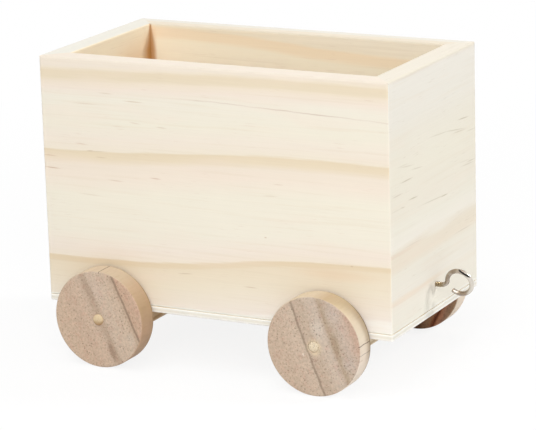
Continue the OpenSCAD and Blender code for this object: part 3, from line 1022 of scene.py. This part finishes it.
# %% Axles
def dowel(node, pale, brown, share, foot, seed):
    """Dowel: fine fibres on its side, pores in a share of the cells on its ends, and a browner foot of
    painted shade.
    """
    material, tree, shader = surface("dowel_" + node, gloss=0.35)
    _, space = wheel_space(tree, node, turn=0.0)
    fibre = grain(tree, space, (0.5, 14.0, 0.5), seed)
    colour = over(tree, tone(pale), tone(brown), between(tree, fibre, 0.35, 0.75, 0.0, 0.8))
    height = split(tree, space)[2]
    # Painted shade: the lower part goes browner, by the given amount.
    colour = over(tree, colour, tone("A27A50"), between(tree, height, 0.7, -1.9, 0.0, foot))
    vessel = pores(tree, space, 0.62, 5.0, seed * 0.29, share)
    colour = over(tree, colour, tone("93775A"), product(tree, vessel, 0.8))
    relief = calc(tree, "SUBTRACT", fibre, vessel)
    dress(tree, shader, colour, between(tree, fibre, 0.3, 0.7, 0.62, 0.5), relief, strength=0.4, depth=0.1)
    return material


wear("front_axle", dowel("front_axle", pale="E9DAC0", brown="DEC8A6", share=0.75, foot=0.15, seed=211))
wear("rear_axle", dowel("rear_axle", pale="E0CBA8", brown="D3B68B", share=0.25, foot=0.8, seed=223))

# %% [markdown]
# ## Nickel wire
# The hook and the eye were bent out of nickel-plated wire. A metal has no colour of its own except in
# what it mirrors, so the finish is a warm grey metal with a roughness that varies as plating does. It
# goes dull and yellowish on the thread next to the board, where the plating is thinnest. The outer half
# of the bend is painted paler, a painted reflection of the white surroundings. A black streak on top is
# a painted reflection of dark surroundings overhead; it is drawn as no metal at all, so there the
# shader's Metallic drops to nothing.

# %% Plated wire
def plated_wire(name, board_face, outwards):
    """board_face: where the wire leaves the wood, in millimetres along X; outwards: +1 or -1."""
    material, tree, shader = surface(name, gloss=0.2)
    space = grain_space(tree, shift=(-board_face, 0.0, 0.0))
    reach = calc(tree, "MULTIPLY", split(tree, space)[0], outwards)
    cloud = grain(tree, space, (2.2, 2.2, 2.2), 241)
    colour = over(tree, tone("BDB4A8"), tone("A09080"), between(tree, cloud, 0.3, 0.6))
    # Painted reflection: the outer half of the bend is paler, for the white surroundings it mirrors.
    colour = over(tree, colour, tone("E4DED4"), between(tree, reach, 12.6, 14.8, 0.0, 0.8))
    speck = grain(tree, space, (0.25, 0.25, 0.25), 242, 2.0)
    near = between(tree, reach, 2.4, 3.8, 1.0, 0.0)
    worn = product(tree, near, between(tree, speck, 0.25, 0.6, 0.45, 0.9))
    colour = over(tree, colour, tone("938160"), worn)
    # Painted reflection: a black streak on top, for dark surroundings overhead, drawn as no metal.
    painted_reflection_at = (13.6 * outwards, -2.7, 40.75)
    painted_dark_reflection = spot(tree, space, painted_reflection_at, size=(7.4, 3.0, 0.95), soft=0.3, fall=31.0 * outwards)
    colour = over(tree, colour, tone("0E0B09"), painted_dark_reflection)
    tree.links.new(calc(tree, "SUBTRACT", 1.0, painted_dark_reflection), shader.inputs["Metallic"])
    plating = between(tree, cloud, 0.3, 0.7, 0.14, 0.26)
    rough = calc(tree, "MAXIMUM", plating, product(tree, painted_dark_reflection, 0.6))
    dress(tree, shader, colour, rough, speck, strength=0.15, depth=0.04)
    return material


hook_metal = plated_wire("nickel_hook", board_face=end_face, outwards=1.0)
eye_metal = plated_wire("nickel_eye", board_face=-end_face, outwards=-1.0)
wear("coupling_hook", hook_metal)
wear("coupling_eye", eye_metal)

# %% [markdown]
# ## Steel nails
# Plain bright steel, a little clouded by handling. Nails are the smallest things on the wagon and lie
# in the shade, so colour, roughness and relief all come from one noise.

# %% Nails
def nail_steel():
    """Clouded bright steel."""
    material, tree, shader = surface("nail_steel", metallic=1.0)
    cloud = grain(tree, grain_space(tree), (0.5, 0.5, 0.5), 251)
    colour = over(tree, tone("B4B0A9"), tone("8B857C"), between(tree, cloud, 0.3, 0.7))
    dress(tree, shader, colour, between(tree, cloud, 0.3, 0.7, 0.3, 0.5), cloud, strength=0.2, depth=0.05)
    return material


steel = nail_steel()
wear("bearer_nails", steel)
wear("floor_nails", steel)

# %% [markdown]
# ## The threads
# Both wires are wood screws at their inner end, and the last turns of the thread stay outside the
# board. A thread could be drawn in the relief, but it shows against the light, so it is a real ridge:
# a small triangle carried round the shank while it also moves along. Spin does both in one go, since
# it turns a profile about an axis and shifts it by `dvec` at every step. The profile's foot is sunk a
# little into the wire. Spin leaves both ends open, so each is closed with a triangle.

# %% Thread
wire_height = 34.6


def thread_ridge(board_face, outwards):
    """A ridge of about three turns round the shank, from just inside the board's face outwards."""
    pitch, turns, steps = 0.95e-3, 3.1, 124
    half_width, foot, crest, sunk = 0.30e-3, 0.86e-3, 1.16e-3, 0.35e-3
    height = wire_height / 1000.0
    start = board_face / 1000.0 - outwards * sunk
    profile = [(-half_width, foot), (0.0, crest), (half_width, foot)]
    ridge = bmesh.new()
    points = [ridge.verts.new((start + x, 0.0, height + r)) for x, r in profile]
    edges = [ridge.edges.new((points[i], points[(i + 1) % 3])) for i in range(3)]
    bmesh.ops.spin(
        ridge, geom=points + edges, cent=(start, 0.0, height), axis=(outwards, 0.0, 0.0),
        dvec=(outwards * pitch * turns / steps, 0.0, 0.0), angle=math.tau * turns, steps=steps,
        use_merge=False, use_normal_flip=False, use_duplicate=False,
    )
    open_ends = [edge for edge in ridge.edges if edge.is_boundary]
    bmesh.ops.holes_fill(ridge, edges=open_ends, sides=3)
    bmesh.ops.recalc_face_normals(ridge, faces=ridge.faces)
    return ridge


print("the wire's axis is", wire_height, "mm up")

# %% The two threads
def cut_thread(name, board_face, outwards, material):
    """A thread as a piece of its own, that rides on the box."""
    ridge = thread_ridge(board_face, outwards)
    print(name, "closed:", all(edge.is_manifold for edge in ridge.edges), len(ridge.faces), "faces")
    mesh = bpy.data.meshes.new(name)
    ridge.to_mesh(mesh)
    ridge.free()
    mesh.materials.append(material)
    piece = bpy.data.objects.new(name, mesh)
    bpy.context.collection.objects.link(piece)
    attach(piece, "wagon_box")


cut_thread("hook_thread", board_face=end_face, outwards=1.0, material=hook_metal)
cut_thread("eye_thread", board_face=-end_face, outwards=-1.0, material=eye_metal)

# %% [markdown]
# ## Colours as written
# The Standard view transform shows a colour as it was written, where Filmic or AgX would grey these
# pale woods.

# %% Finish
bpy.context.scene.view_settings.view_transform = "Standard"
